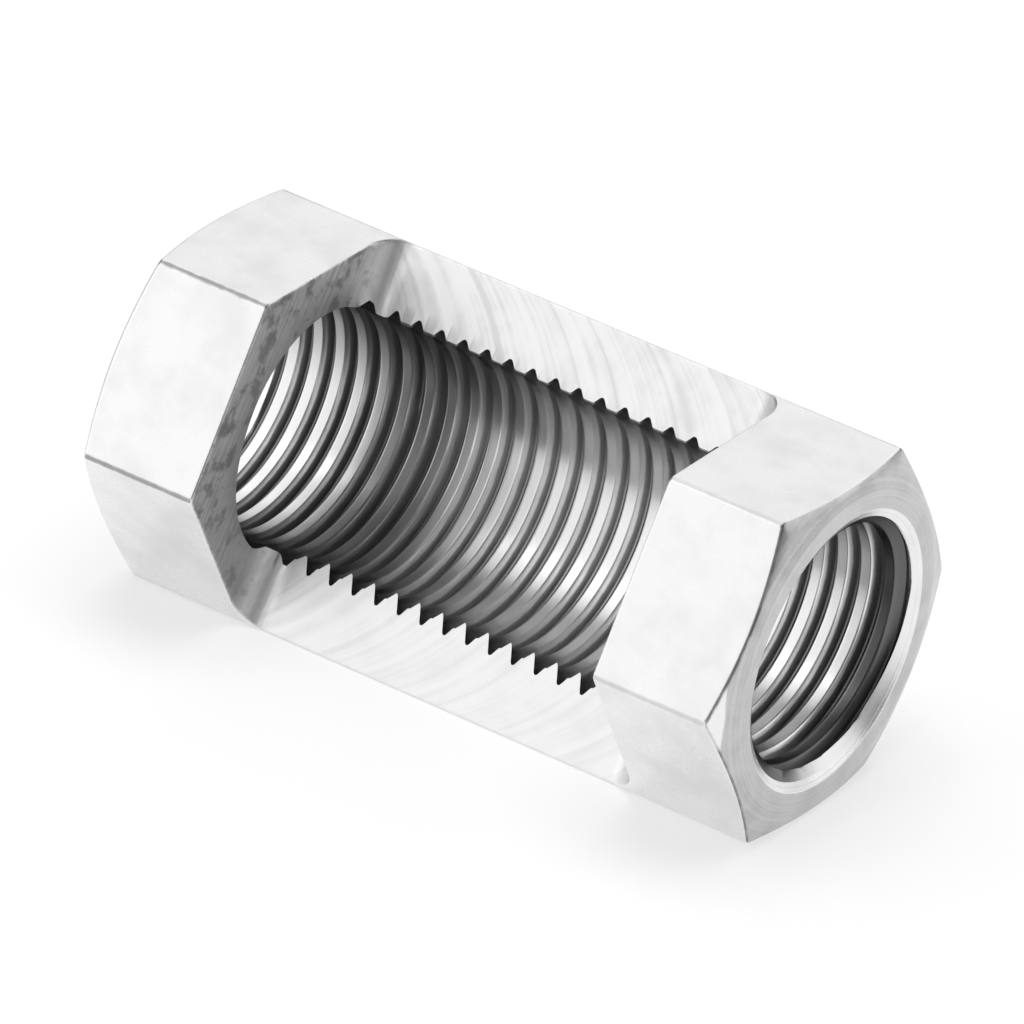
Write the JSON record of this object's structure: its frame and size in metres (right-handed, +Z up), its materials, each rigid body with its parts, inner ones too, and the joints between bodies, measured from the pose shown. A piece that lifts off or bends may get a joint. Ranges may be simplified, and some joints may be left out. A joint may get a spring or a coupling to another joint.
{
  "type": "coupling nut",
  "caption": "Long hexagon coupling nut with a fine thread from end to end and a window milled across its middle, through which the rod ends can be seen.",
  "frame": {"origin": "on the axis of the bore, halfway between the end faces", "axes": "+X along the bore, +Z up from the flat that the nut lies on, window facing -Y and up"},
  "size_m": [0.028, 0.0148, 0.013],
  "materials": {
    "plated_steel": "bright zinc plating over drawn and milled steel"
  },
  "bodies": {
    "root": {"coupling_nut": "plated_steel"}
  },
  "joints": []
}
